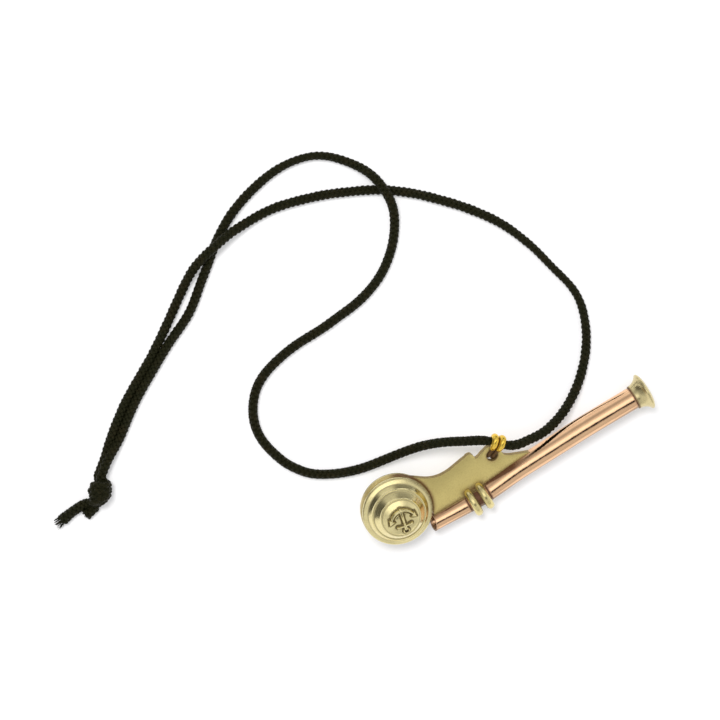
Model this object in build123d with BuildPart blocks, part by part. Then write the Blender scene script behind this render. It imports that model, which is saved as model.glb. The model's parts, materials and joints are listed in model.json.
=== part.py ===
from build123d import *
import os
from math import cos, sin, radians

# Boatswain's call on a braided cord lanyard, lying on a flat surface.
# Millimetres, +Z up, the surface at z = 0, the origin at the bottom centre of
# the whole layout. The call lies tilted on its lower dome, the second binding
# ring and the rim of the mouthpiece, so its parts are drawn on the CALL plane:
# local x runs along the tube towards the mouth, local y towards the ear, local
# z out of the keel's front face.

os.makedirs("parts", exist_ok=True)

# ---- call attitude
CALL = Plane(origin=(14.602, -57.553, 10.360), x_dir=(0.85745, 0.51457, 0.00163),
             z_dir=(0.17676, -0.29751, 0.93821))

# ---- gun (tube): local x, y of the axis and outside radius
GUN = [
    (6.0, -12.00, 3.08), (12.0, -12.25, 3.16), (18.0, -12.55, 3.26), (24.0, -12.78, 3.38),
    (30.0, -12.68, 3.50), (36.0, -12.15, 3.64), (42.0, -11.50, 3.76), (48.0, -11.15, 3.84),
    (56.0, -10.92, 3.90), (66.0, -10.60, 3.97), (78.0, -10.38, 4.03), (88.0, -10.42, 4.05),
    (95.6, -10.55, 4.05),
]
GUN_WALL = 0.6
FIT = 0.03                            # solder gap round the tube and the binding rings
OUTLET = (8.75, -12.1)                # where the slanted outlet cut crosses the axis
OUTLET_NORMAL = (0.92, -0.32, -0.22)  # local direction, towards the side that is kept

# ---- keel plate
KEEL_T = 2.3          # plate thickness
BAND_R = 12.85        # outer radius of the plate's ring round the buoy
BAND_IN_R = 11.2      # inner radius of that ring
EAR = (38.97, -0.84)  # centre of the lanyard hole
EAR_HOLE_R = 2.1
EAR_R = 3.6           # outside radius of the ear

# ---- sounding window, through the keel's ring and both domes
WINDOW_AT = (2.0, -12.4)
WINDOW_L = 11.0       # along the tube
WINDOW_H = 3.4        # along local y
WINDOW_W = 5.2        # across the keel

# ---- buoy
KEEL_FACE = KEEL_T / 2
DOME_TOP = 10.10      # apex above the keel's mid-plane
WALL = 0.75           # wall at the apex
DOME_INSIDE = DOME_TOP - WALL
POLE_FLAT_R = 0.3     # small flat on the dome's centre, inside and out

# Half section of one stepped dome in radius, height above the keel's mid-plane.
# Each edge: the point an arc passes through (None for a straight edge), end point.
DOME_START = (11.85, KEEL_FACE)
DOME_EDGES = [
    (None, (12.55, KEEL_FACE)),
    ((12.05, 2.70), (10.94, 3.90)),
    ((10.00, 5.10), (9.50, 6.55)),
    ((9.00, 6.92), (8.50, 6.65)),
    (None, (7.90, 6.05)),
    ((7.08, 7.05), (6.78, 8.35)),
    ((6.58, 8.62), (6.30, 8.62)),
    ((3.30, 9.710), (POLE_FLAT_R, DOME_TOP)),
    # through the wall at the pole, then back down the inside
    (None, (0.0, DOME_TOP)),
    (None, (0.0, DOME_INSIDE)),
    (None, (POLE_FLAT_R, DOME_INSIDE)),
    ((2.90, 9.015), (5.50, 8.10)),
    (None, (6.10, 7.30)),
    (None, (6.45, 6.20)),
    (None, (7.20, 5.30)),
    (None, (8.70, 5.30)),
    (None, (9.15, 4.85)),
    (None, (10.20, 3.40)),
    (None, DOME_START),
]

# ---- anchor crest on the front dome's cap
CAP_R = 14.15         # sphere radius of the cap
CREST_BASE = 8.3      # local z the crest is extruded from
CREST_T = 3.0         # extrusion, before it is trimmed to the cap
CREST_RISE = 0.42     # height above the cap's sphere
CREST_SINK = 0.35     # depth below it
CREST_X = (-0.979, 0.205)   # local direction of the anchor's own x

# ---- mouthpiece
MOUTH_AT = (93.10, -10.505)
MOUTH_SLOPE = -0.012  # local y per x of its axis
MOUTH_RIM_R = 6.86
SOCKET_R = 4.11
SOCKET_L = 2.65
BORE_R = 3.05

# Half section in distance along the axis, radius; edges as for the dome.
MOUTH_START = (SOCKET_L, BORE_R)
MOUTH_EDGES = [
    (None, (SOCKET_L, SOCKET_R)),
    (None, (0.0, SOCKET_R)),
    (None, (0.0, 4.46)),
    (None, (0.8, 4.50)),
    ((2.75, 5.28), (4.05, MOUTH_RIM_R - 0.18)),
    ((4.50, MOUTH_RIM_R), (4.95, MOUTH_RIM_R - 0.35)),
    ((5.50, 5.30), (5.60, 4.05)),
    ((5.35, 3.55), (4.75, BORE_R)),
    (None, MOUTH_START),
]

# ---- binding rings: local x, y of the centre and slope of the tube there
BINDING_RINGS = {
    "binding_ring_a": (24.80, -12.785, 0.005),
    "binding_ring_b": (29.40, -12.705, 0.035),
}
BIND_MAJOR = 4.65
BIND_WIRE_R = 1.27

# ---- split ring
PIVOT = Vector(49.208, -35.518, 10.831)     # middle of the metal between hole and ear edge
SPLIT_AXIS = Vector(-0.94689, 0.20874, 0.24459)
SPLIT_DIR = Vector(0.31789, 0.49326, 0.80972)   # from the pivot towards the cord
SPLIT_MAJOR = 3.95
SPLIT_WIRE_R = 0.75
SPLIT_OFFSET = 0.80   # each of the two coils sits this far from the ring's middle
SPLIT_TO_PIVOT = 1.75  # ring centre from the pivot
# degrees round the ring
COIL_START, COIL_END, COIL_STRIDE = -70, 570, 16
CROSS_START, CROSS_SPAN = 220, 60     # where the wire steps from one coil to the other

# ---- cord
CORD_R = 1.35
CORD_END_R = CORD_R - 0.02            # spheres that round the ends
BIGHT_TO_PIVOT = 3.15                 # cord centre from the pivot
BIGHT_L = 9.0
BIGHT_R = 1.12        # the cord is squeezed where it passes through the ring
BIGHT_DIR = Vector(-0.97655, 0.21528, 0.0)

# ---- knot
KNOT_AT = (-92.003, -52.249, 4.020)
KNOT_DIR = (-0.30113, -0.95358, 0)
KNOT_LONG = 5.4       # half length
KNOT_R = 4.0

# ---- centre lines of the cord's pieces, world x, y, z
CORDS = {
    # from the split ring down to the surface
    "cord_left_near": [
        (44.24, -32.71, 13.49), (38.74, -33.38, 12.00), (33.19, -33.68, 10.45),
        (27.76, -34.41, 8.66), (22.47, -35.71, 6.78), (17.33, -37.60, 4.94),
        (12.22, -39.72, 3.32), (7.02, -41.91, 2.10), (1.63, -43.84, 1.48),
        (-3.99, -45.13, 1.40), (-9.72, -45.75, 1.40), (-15.48, -45.60, 1.40),
        (-20.98, -43.90, 1.40), (-26.05, -41.17, 1.40),
    ],
    "cord_right_near": [
        (56.13, -35.21, 13.48), (61.47, -33.00, 11.39), (66.72, -30.54, 9.26),
        (71.19, -27.00, 6.93), (75.03, -22.73, 4.67), (78.16, -17.76, 2.78),
        (80.66, -12.24, 1.63), (82.33, -6.31, 1.40), (83.27, -0.21, 1.40),
    ],
    # the two wide curves; each rises once to pass over the other
    "cord_left_mid": [
        (-29.90, -38.02, 1.40), (-36.10, -29.05, 1.40), (-36.72, -18.17, 1.40),
        (-31.86, -8.43, 1.40), (-23.83, -0.91, 1.40), (-14.61, 5.12, 1.40),
        (-5.60, 11.45, 1.40), (2.90, 18.43, 1.40), (9.49, 27.21, 1.40),
        (13.17, 37.56, 1.40), (13.56, 48.39, 2.73), (8.94, 58.06, 4.35),
        (0.85, 64.98, 2.00), (-9.46, 68.63, 1.40), (-20.32, 67.81, 1.40),
        (-30.14, 62.91, 1.40), (-38.42, 55.67, 1.40), (-45.42, 47.17, 1.40),
        (-50.58, 37.45, 1.40), (-54.35, 27.10, 1.40), (-58.13, 16.75, 1.40),
    ],
    "cord_right_mid": [
        (83.41, 4.20, 1.40), (82.79, 10.16, 1.40), (81.30, 15.95, 1.40), (78.48, 21.20, 1.40),
        (74.48, 25.64, 1.40), (70.21, 29.85, 1.40), (66.06, 34.18, 1.40), (61.60, 38.19, 1.40),
        (56.87, 41.87, 1.40), (51.82, 45.11, 1.40), (46.43, 47.73, 1.40), (40.88, 49.99, 1.40),
        (35.19, 51.90, 1.40), (29.42, 53.53, 1.40), (23.60, 55.00, 1.40), (17.69, 56.02, 1.40),
        (11.73, 56.67, 1.40), (5.74, 56.78, 1.40), (-0.24, 56.35, 1.40), (-6.21, 55.72, 1.40),
        (-12.14, 54.84, 1.40), (-18.00, 53.56, 1.40), (-23.81, 52.05, 1.40),
        (-29.49, 50.15, 1.40), (-34.89, 47.56, 1.43), (-39.95, 44.44, 2.07),
        (-44.78, 41.13, 3.36), (-49.23, 37.25, 4.30), (-53.63, 33.19, 4.31),
        (-57.70, 28.92, 3.38), (-63.01, 19.56, 1.47),
    ],
    # side by side to the knot
    "cord_left_twin": [
        (-59.82, 12.78, 1.40), (-62.99, 7.64, 1.40), (-66.47, 2.69, 1.40),
        (-69.71, -2.42, 1.40), (-72.76, -7.66, 1.40), (-75.80, -12.89, 1.40),
        (-78.72, -18.19, 1.40), (-81.30, -23.66, 1.40), (-83.62, -29.26, 1.40),
        (-85.93, -34.85, 1.40), (-88.29, -40.42, 1.40), (-90.55, -46.04, 1.40),
    ],
    "cord_right_twin": [
        (-64.86, 15.43, 1.40), (-67.36, 9.83, 1.40), (-69.91, 4.25, 1.40),
        (-72.59, -1.26, 1.40), (-75.50, -6.66, 1.40), (-78.60, -11.95, 1.40),
        (-81.64, -17.28, 1.40), (-84.33, -22.80, 1.40), (-86.66, -28.47, 1.40),
        (-88.89, -34.18, 1.40), (-91.15, -39.89, 1.40), (-93.38, -45.60, 1.40),
    ],
    # loose ends beyond the knot
    "cord_tail_long": [
        (-96.68, -56.24, 1.40), (-99.08, -57.58, 1.40), (-101.39, -59.07, 1.40),
        (-103.60, -60.70, 1.40), (-105.77, -62.39, 1.40),
    ],
    "cord_tail_short": [
        (-94.15, -57.99, 1.40), (-94.90, -58.72, 1.40), (-95.68, -59.41, 1.40),
        (-96.30, -59.88, 1.40), (-97.18, -60.44, 1.40),
    ],
}


# ------------------------------------------------------------------- helpers
def at(x, y, z=0.0):
    """A point of the call given in its local frame."""
    return CALL.from_local_coords((x, y, z))


def heading(x, y, z=0.0):
    """A direction given in the call's local frame."""
    return at(x, y, z) - at(0, 0)


def across(x, y, run, rise):
    """The plane at local x, y square to the local direction run, rise."""
    return Plane(origin=at(x, y), x_dir=CALL.z_dir, z_dir=heading(run, rise))


def across_gun(i):
    """The plane square to the tube's axis at station i."""
    x0, y0, _ = GUN[max(i - 1, 0)]
    x1, y1, _ = GUN[min(i + 1, len(GUN) - 1)]
    return across(GUN[i][0], GUN[i][1], x1 - x0, y1 - y0)


def draw_edges(start, edges):
    """Draw a chain of lines and arcs into the open BuildLine."""
    for through, end in edges:
        if through is None:
            Line(start, end)
        else:
            ThreePointArc(start, through, end)
        start = end


def save(name, part):
    part.label = name
    export_step(part, f"parts/{name}.step")


# ------------------------------------------------------------------ gun tube
def gun_shape(*lofts):
    """Loft the tube's stations once per (change of radius, mode), then cut the outlet."""
    with BuildPart() as gun:
        for growth, mode in lofts:
            for i, (_, _, radius) in enumerate(GUN):
                with BuildSketch(across_gun(i)):
                    Circle(radius + growth)
            loft(mode=mode)
        # the outlet is cut slanting, its longer side away from the keel
        split(bisect_by=Plane(origin=at(*OUTLET), z_dir=heading(*OUTLET_NORMAL)), keep=Keep.TOP)
    return gun.part


# ---------------------------------------------------------------- keel plate
def keel_plate(gun_seat, bind_planes):
    with BuildPart() as keel:
        with BuildSketch(CALL.offset(-KEEL_T / 2)):
            with BuildLine():
                rise = Spline((9.75, 8.30), (11.75, 6.90), (14.25, 4.90), (17.4, 3.25),
                              (21.3, 2.62), (25.7, 3.12), (30.2, 3.80))
                peak = Spline(rise @ 1, (31.6, 4.15), (32.55, 3.85), (33.05, 2.9), (33.3, 1.35))
                notch = Spline(peak @ 1, (34.3, 1.42), (35.8, 1.95), (37.25, 2.32))
                ear = ThreePointArc(notch @ 1, (EAR[0] + EAR_R * 0.71, EAR[1] + EAR_R * 0.704),
                                    (42.45, -1.72))
                tail = Spline(ear @ 1, (42.95, -3.1), (43.9, -3.95), (46.2, -5.15),
                              (50.1, -6.85), (52.3, -7.75))
                # back inside the tube, then up inside the ring
                Polyline(tail @ 1, (52.3, -11.0), (42.0, -11.5), (30.0, -12.6), (18.0, -12.5),
                         (10.9, -12.2), (10.5, -9.2), (10.85, -7.1), (9.7, -7.1), (11.9, -2.0),
                         (11.9, 2.0), (9.2, 7.6), (9.75, 8.30))
            make_face()
        extrude(amount=KEEL_T)
        with BuildSketch(CALL.offset(-KEEL_T / 2)):
            Circle(BAND_R)
        extrude(amount=KEEL_T)
        with BuildSketch(CALL.offset(-KEEL_T)):
            Circle(BAND_IN_R)
            with Locations(EAR):
                Circle(EAR_HOLE_R)
        extrude(amount=2 * KEEL_T, mode=Mode.SUBTRACT)
        # the window runs through the ring where the tube blows across it
        with BuildSketch(CALL.offset(-WINDOW_W / 2)):
            with Locations(WINDOW_AT):
                Rectangle(WINDOW_L, WINDOW_H)
        extrude(amount=WINDOW_W, mode=Mode.SUBTRACT)
        # seats for the tube and the binding rings
        add(gun_seat, mode=Mode.SUBTRACT)
        with Locations(*bind_planes):
            Torus(BIND_MAJOR, BIND_WIRE_R + FIT, mode=Mode.SUBTRACT)
    return keel.part


# ------------------------------------------------------- buoy, two half shells
def anchor_crest():
    """A plain anchor on the cap, its ring towards the tube."""
    face = Plane(origin=at(0, 0, CREST_BASE), x_dir=heading(*CREST_X), z_dir=CALL.z_dir)
    with BuildPart() as crest:
        with BuildSketch(face):
            # arms: a crescent, its upper part cut off
            with Locations((0, 0.55)):
                Circle(4.25)
            with Locations((0, 1.25)):
                Circle(3.95, mode=Mode.SUBTRACT)
            with Locations((0, 2.6)):
                Rectangle(12, 6.4, mode=Mode.SUBTRACT)
            # shank, stock and ring
            with Locations((0, 0.0)):
                Rectangle(0.95, 7.0)
            with Locations((0, 2.15)):
                SlotOverall(5.0, 0.85)
            with Locations((0, 4.25)):
                Circle(1.05)
                Circle(0.5, mode=Mode.SUBTRACT)
            # flukes
            for side in (1, -1):
                with BuildLine():
                    Polyline((side * 4.75, 0.7), (side * 2.65, -0.25), (side * 4.35, -1.5),
                             close=True)
                make_face()
        extrude(amount=CREST_T)
        # keep only a thin layer that follows the cap
        with Locations(Plane(origin=at(0, 0, DOME_TOP - CAP_R), z_dir=CALL.z_dir)):
            Sphere(CAP_R + CREST_RISE, mode=Mode.INTERSECT)
            Sphere(CAP_R - CREST_SINK, mode=Mode.SUBTRACT)
    return crest.part


def buoy_dome(side, crest=None):
    """One half shell; side is 1 in front of the keel and -1 behind it."""
    with BuildPart() as dome:
        with BuildSketch(Plane(origin=CALL.origin, x_dir=CALL.x_dir, z_dir=CALL.y_dir * -side)):
            with BuildLine():
                draw_edges(DOME_START, DOME_EDGES)
            make_face()
        revolve(axis=Axis(CALL.origin, CALL.z_dir * side))
        with BuildSketch(CALL):
            with Locations(WINDOW_AT):
                Rectangle(WINDOW_L, WINDOW_H)
        extrude(amount=side * WINDOW_W / 2, mode=Mode.SUBTRACT)
        if crest is not None:
            add(crest)
    return dome.part


# ---------------------------------------------------------------- mouthpiece
def mouthpiece():
    direction = heading(1.0, MOUTH_SLOPE)
    section = Plane(origin=at(*MOUTH_AT), x_dir=direction, z_dir=CALL.z_dir)
    with BuildPart() as mouth:
        with BuildSketch(section):
            with BuildLine():
                draw_edges(MOUTH_START, MOUTH_EDGES)
            make_face()
        revolve(axis=Axis(section.origin, direction))
    return mouth.part


# ------------------------------------------------------------- binding rings
def binding_ring(plane):
    with BuildPart(plane) as ring:
        Torus(BIND_MAJOR, BIND_WIRE_R)
    return ring.part


# ---------------------------------------------------------------- split ring
def coil(angle):
    """Centre of the wire at an angle in degrees, counted on through both coils."""
    centre = PIVOT + SPLIT_DIR * SPLIT_TO_PIVOT
    x_dir = SPLIT_DIR * -1
    y_dir = SPLIT_AXIS.cross(x_dir)
    q = min(max((angle - CROSS_START) / CROSS_SPAN, 0.0), 1.0)
    # eases from one side of the ring's middle to the other
    shift = SPLIT_OFFSET * (2 * q * q * (3 - 2 * q) - 1)
    return (centre + x_dir * (SPLIT_MAJOR * cos(radians(angle)))
            + y_dir * (SPLIT_MAJOR * sin(radians(angle))) + SPLIT_AXIS * shift)


def split_ring():
    """Two coils side by side joined by one step, ends cut square."""
    start = coil(COIL_START)
    with BuildPart() as ring:
        with BuildLine():
            Spline(*[coil(angle) for angle in range(COIL_START, COIL_END + 1, COIL_STRIDE)])
        with BuildSketch(Plane(origin=start, z_dir=coil(COIL_START + 1) - start)):
            Circle(SPLIT_WIRE_R)
        sweep()
    return ring.part


# -------------------------------------------------------------- cord lanyard
def cord_bight():
    """The straight piece of cord through the split ring."""
    centre = PIVOT + SPLIT_DIR * BIGHT_TO_PIVOT
    with BuildPart(Plane(origin=centre, z_dir=BIGHT_DIR)) as bight:
        Cylinder(BIGHT_R, BIGHT_L)
    return bight.part


def cord(path):
    """Round cord along the path, with rounded ends."""
    with BuildPart() as piece:
        with BuildLine():
            Spline(*path)
        with BuildSketch(Plane(origin=path[0], z_dir=Vector(*path[1]) - Vector(*path[0]))):
            Circle(CORD_R)
        sweep()
        with Locations(path[0], path[-1]):
            Sphere(CORD_END_R)
    return piece.part


def cord_knot():
    """An ellipsoid: half an ellipse turned about its long axis."""
    section = Plane(origin=KNOT_AT, x_dir=KNOT_DIR, z_dir=(0, 0, 1))
    with BuildPart() as knot:
        with BuildSketch(section):
            Ellipse(KNOT_LONG, KNOT_R)
            with Locations((0, -KNOT_R)):
                Rectangle(4 * KNOT_LONG, 2 * KNOT_R, mode=Mode.SUBTRACT)
        revolve(axis=Axis(section.origin, section.x_dir))
    return knot.part


# --------------------------------------------------------------------- build
bind_planes = {name: across(x, y, 1.0, slope) for name, (x, y, slope) in BINDING_RINGS.items()}

save("gun_tube", gun_shape((0.0, Mode.ADD), (-GUN_WALL, Mode.SUBTRACT)))
save("keel_plate", keel_plate(gun_shape((FIT, Mode.ADD)), bind_planes.values()))
save("buoy_dome_front", buoy_dome(1, anchor_crest()))
save("buoy_dome_back", buoy_dome(-1))
save("mouthpiece", mouthpiece())
for name, plane in bind_planes.items():
    save(name, binding_ring(plane))
save("split_ring", split_ring())
save("cord_bight", cord_bight())
for name, path in CORDS.items():
    save(name, cord(path))
save("cord_knot", cord_knot())
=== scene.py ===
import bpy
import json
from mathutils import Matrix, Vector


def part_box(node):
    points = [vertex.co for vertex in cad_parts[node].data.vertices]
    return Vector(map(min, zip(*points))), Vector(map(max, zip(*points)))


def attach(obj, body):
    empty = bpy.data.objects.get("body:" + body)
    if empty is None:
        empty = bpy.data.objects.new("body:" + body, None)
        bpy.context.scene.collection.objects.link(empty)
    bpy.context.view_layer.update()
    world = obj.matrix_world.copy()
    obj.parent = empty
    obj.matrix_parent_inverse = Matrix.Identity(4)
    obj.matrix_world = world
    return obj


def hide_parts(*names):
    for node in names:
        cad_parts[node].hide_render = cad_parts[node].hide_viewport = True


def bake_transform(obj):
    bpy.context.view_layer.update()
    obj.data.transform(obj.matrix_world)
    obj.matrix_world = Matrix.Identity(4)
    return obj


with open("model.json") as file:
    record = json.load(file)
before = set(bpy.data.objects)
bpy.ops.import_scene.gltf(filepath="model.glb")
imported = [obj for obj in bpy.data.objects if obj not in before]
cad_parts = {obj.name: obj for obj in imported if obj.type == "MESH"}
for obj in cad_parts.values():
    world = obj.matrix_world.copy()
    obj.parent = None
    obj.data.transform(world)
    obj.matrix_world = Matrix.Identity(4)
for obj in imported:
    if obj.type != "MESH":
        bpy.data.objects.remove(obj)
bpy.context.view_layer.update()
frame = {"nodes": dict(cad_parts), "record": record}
import json
import math
import bpy
import bmesh
import numpy as np
from mathutils import Vector, noise

MM = 0.001
REC = frame["record"]
NODES = frame["nodes"]

# ------------------------------------------------------------ reference frame
JOINTS = {j["name"]: j for j in REC["behaviour"]["joints"]}
MOUNTS = {m["name"]: m for m in REC["mounts"]}


def V3(p):
    return np.array(p, float)


def unit(v):
    v = V3(v)
    return v / np.linalg.norm(v)


def mesh_arrays(o):
    me = o.data
    co = np.empty(len(me.vertices) * 3)
    me.vertices.foreach_get("co", co)
    n = np.empty(len(me.polygons) * 3)
    me.polygons.foreach_get("normal", n)
    a = np.empty(len(me.polygons))
    me.polygons.foreach_get("area", a)
    return co.reshape(-1, 3), n.reshape(-1, 3), a


# the keel's face gives the call's normal, the mouth bore its long axis and place
_co, _no, _ar = mesh_arrays(NODES["keel_plate"])
_keys = np.round(_no, 3)
_u, _inv = np.unique(_keys, axis=0, return_inverse=True)
_sum = np.bincount(_inv.ravel(), weights=_ar)
_sum = _sum * (_u[:, 2] > 0.5)
CN = unit(_u[np.argmax(_sum)])
CN = unit((_no * (_ar * ((_no @ CN) > 0.9995))[:, None]).sum(0))
_md = unit(MOUNTS["mouth_bore"]["axis"])
_md = unit(_md - CN * (_md @ CN))
_t = math.atan(0.012)
CX = unit(_md * math.cos(_t) + np.cross(CN, _md) * math.sin(_t))
CY = np.cross(CN, CX)
CO = V3(MOUNTS["mouth_bore"]["pos_m"]) - (_md * 3.7 + CX * 93.10 - CY * 10.505) * MM


def at(x, y, z=0.0):
    """A point in the call's own axes, in millimetres, given back in the row frame in metres."""
    return CO + (CX * x + CY * y + CN * z) * MM


def at_many(P):
    P = V3(P)
    return CO + (P[:, :1] * CX + P[:, 1:2] * CY + P[:, 2:3] * CN) * MM


# ------------------------------------------------------------ mesh helpers
def make(name, verts, faces, smooth=True, uv=None):
    me = bpy.data.meshes.new(name)
    verts = V3(verts)
    me.vertices.add(len(verts))
    me.vertices.foreach_set("co", verts.ravel())
    faces = [f for f in faces if len(f)]
    lens = np.concatenate([np.full(len(f), f.shape[1]) for f in faces]).astype(np.int32)
    loops = np.concatenate([f.ravel() for f in faces]).astype(np.int32)
    me.loops.add(len(loops))
    me.loops.foreach_set("vertex_index", loops)
    me.polygons.add(len(lens))
    me.polygons.foreach_set("loop_start", np.concatenate([[0], np.cumsum(lens)[:-1]]).astype(np.int32))
    me.polygons.foreach_set("loop_total", lens)
    me.update(calc_edges=True)
    me.validate()
    if smooth:
        me.polygons.foreach_set("use_smooth", np.ones(len(me.polygons), bool))
    if uv is not None:
        layer = me.uv_layers.new(name="UVMap")
        idx = np.empty(len(me.loops), np.int32)
        me.loops.foreach_get("vertex_index", idx)
        layer.data.foreach_set("uv", V3(uv)[idx].ravel())
    ob = bpy.data.objects.new(name, me)
    bpy.context.scene.collection.objects.link(ob)
    return ob


def grid_faces(n, m, wrap_m=True, wrap_n=False, offset=0, flip=False):
    """Quads of an n by m grid of vertices, m going round."""
    i = np.arange(n if wrap_n else n - 1)[:, None]
    j = np.arange(m if wrap_m else m - 1)[None, :]
    i2, j2 = (i + 1) % n, (j + 1) % m
    f = np.stack([i * m + j, i * m + j2, i2 * m + j2, i2 * m + j], -1).reshape(-1, 4) + offset
    return f[:, ::-1] if flip else f


def arc3(p0, pm, p1, n):
    """n points on the arc through three points, the first one left out."""
    (ax, ay), (bx, by), (cx, cy) = p0, pm, p1
    d = 2 * (ax * (by - cy) + bx * (cy - ay) + cx * (ay - by))
    ux = ((ax**2 + ay**2) * (by - cy) + (bx**2 + by**2) * (cy - ay) + (cx**2 + cy**2) * (ay - by)) / d
    uy = ((ax**2 + ay**2) * (cx - bx) + (bx**2 + by**2) * (ax - cx) + (cx**2 + cy**2) * (bx - ax)) / d
    r = math.hypot(ax - ux, ay - uy)
    t0, tm, t1 = (math.atan2(p[1] - uy, p[0] - ux) for p in (p0, pm, p1))
    two = 2 * math.pi
    if (tm - t0) % two > (t1 - t0) % two:
        span = -((t0 - t1) % two)
    else:
        span = (t1 - t0) % two
    return [(ux + r * math.cos(t0 + span * k / n), uy + r * math.sin(t0 + span * k / n)) for k in range(1, n + 1)]


def catmull(P, step):
    """A smooth curve through P, sampled at even steps of arc length."""
    P = V3(P)
    Q = np.vstack([2 * P[0] - P[1], P, 2 * P[-1] - P[-2]])
    out = []
    for k in range(1, len(Q) - 2):
        t = np.linspace(0, 1, 17)[:-1, None]
        a, b, c, d = Q[k - 1], Q[k], Q[k + 1], Q[k + 2]
        out.append(0.5 * (2 * b + (c - a) * t + (2 * a - 5 * b + 4 * c - d) * t**2 + (3 * b - a - 3 * c + d) * t**3))
    out = np.vstack(out + [P[-1:]])
    s = np.concatenate([[0], np.cumsum(np.linalg.norm(np.diff(out, axis=0), axis=1))])
    n = max(2, int(round(s[-1] / step)) + 1)
    q = np.linspace(0, s[-1], n)
    return np.stack([np.interp(q, s, out[:, k]) for k in range(3)], 1)


def smooth_path(P, times):
    P = P.copy()
    for _ in range(times):
        P[1:-1] = (P[:-2] + 2 * P[1:-1] + P[2:]) / 4
    return P


def frames(P, up=(0, 0, 1)):
    """Tangent, normal and binormal along a path without twist."""
    T = np.gradient(P, axis=0)
    T /= np.linalg.norm(T, axis=1)[:, None]
    n = V3(up) - T[0] * (V3(up) @ T[0])
    if np.linalg.norm(n) < 0.1:
        n = np.cross(T[0], [1, 0, 0])
    n = unit(n)
    N = np.empty_like(P)
    for k in range(len(P)):
        n = n - T[k] * (n @ T[k])
        n = n / np.linalg.norm(n)
        N[k] = n
    return T, N, np.cross(T, N)


def tube(name, P, radius, sides=16, caps=True, squash=1.0, up=(0, 0, 1)):
    """A closed round bar along P, radius may change along it."""
    P = V3(P)
    T, N, B = frames(P, up)
    r = np.broadcast_to(V3(radius), (len(P),))
    a = np.linspace(0, 2 * math.pi, sides, endpoint=False)
    ring = (np.cos(a)[None, :, None] * N[:, None] * squash + np.sin(a)[None, :, None] * B[:, None])
    v = (P[:, None] + ring * r[:, None, None]).reshape(-1, 3)
    f = [grid_faces(len(P), sides)]
    if caps:
        extra, tri = [], []
        for end, sgn in ((0, -1), (len(P) - 1, 1)):
            base = len(v) + len(extra) * 1
            steps = 4
            prev = end * sides + np.arange(sides)
            for q in range(1, steps):
                c = math.cos(q / steps * math.pi / 2)
                h = math.sin(q / steps * math.pi / 2)
                e = P[end] + ring[end] * r[end] * c + T[end] * sgn * r[end] * h
                idx = len(v) + sum(len(x) for x in extra) + np.arange(sides)
                extra.append(e)
                qd = np.stack([prev, np.roll(prev, -1), np.roll(idx, -1), idx], 1)
                f.append(qd if sgn > 0 else qd[:, ::-1])
                prev = idx
            tip = len(v) + sum(len(x) for x in extra)
            extra.append((P[end] + T[end] * sgn * r[end])[None])
            t = np.stack([prev, np.roll(prev, -1), np.full(sides, tip)], 1)
            f.append(t if sgn > 0 else t[:, ::-1])
        v = np.vstack([v] + extra)
    return make(name, v, f)


def lathe(name, profile, origin, axis, xdir, segments=256, bump=None):
    """A closed solid of revolution; profile is a closed loop of (r, z) in mm, points on the axis become poles."""
    axis, xdir = unit(axis), unit(xdir)
    ydir = np.cross(axis, xdir)
    a = np.linspace(0, 2 * math.pi, segments, endpoint=False)
    C, S = np.cos(a), np.sin(a)
    verts, rings, count = [], [], 0
    for r, z in profile:
        if r < 1e-6:
            p = np.array([[0.0, 0.0, z]])
        else:
            p = np.stack([r * C, r * S, np.full(segments, z)], 1)
        if bump is not None:
            p = p.copy()
            p[:, 2] += bump(p)
        verts.append(p)
        rings.append((count, len(p)))
        count += len(p)
    v = np.vstack(verts)
    world = origin + (v[:, :1] * xdir + v[:, 1:2] * ydir + v[:, 2:3] * axis) * MM
    quads, tris = [], []
    for k in range(len(rings)):
        (a0, na), (b0, nb) = rings[k], rings[(k + 1) % len(rings)]
        j = np.arange(segments)
        j2 = (j + 1) % segments
        if na > 1 and nb > 1:
            quads.append(np.stack([a0 + j, a0 + j2, b0 + j2, b0 + j], 1))
        elif na > 1:
            tris.append(np.stack([a0 + j, a0 + j2, np.full(segments, b0)], 1))
        elif nb > 1:
            tris.append(np.stack([np.full(segments, a0), b0 + j2, b0 + j], 1))
    return make(name, world, quads + tris)


# ------------------------------------------------------------ materials
def new_mat(name):
    m = bpy.data.materials.new(name)
    m.use_nodes = True
    nt = m.node_tree
    nt.nodes.clear()
    out = nt.nodes.new("ShaderNodeOutputMaterial")
    bs = nt.nodes.new("ShaderNodeBsdfPrincipled")
    nt.links.new(bs.outputs[0], out.inputs[0])
    return m, nt, bs


def math_node(nt, op, a, b=None, c=None, clamp=False):
    n = nt.nodes.new("ShaderNodeMath")
    n.operation = op
    n.use_clamp = clamp
    for i, v in enumerate((a, b, c)):
        if v is None:
            continue
        if isinstance(v, (int, float)):
            n.inputs[i].default_value = v
        else:
            nt.links.new(v, n.inputs[i])
    return n.outputs[0]


def ramp(nt, fac, stops):
    n = nt.nodes.new("ShaderNodeValToRGB")
    e = n.color_ramp.elements
    while len(e) < len(stops):
        e.new(0.5)
    for k, (p, c) in enumerate(stops):
        e[k].position = p
        e[k].color = (c, c, c, 1) if isinstance(c, (int, float)) else tuple(c) + (1,)
    nt.links.new(fac, n.inputs[0])
    return n.outputs[0]


def mix(nt, fac, a, b, blend="MIX"):
    n = nt.nodes.new("ShaderNodeMix")
    n.data_type = "RGBA"
    n.blend_type = blend
    if isinstance(fac, (int, float)):
        n.inputs[0].default_value = fac
    else:
        nt.links.new(fac, n.inputs[0])
    for i, v in ((6, a), (7, b)):
        if isinstance(v, tuple):
            n.inputs[i].default_value = v + (1,)
        else:
            nt.links.new(v, n.inputs[i])
    return n.outputs[2]


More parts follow.
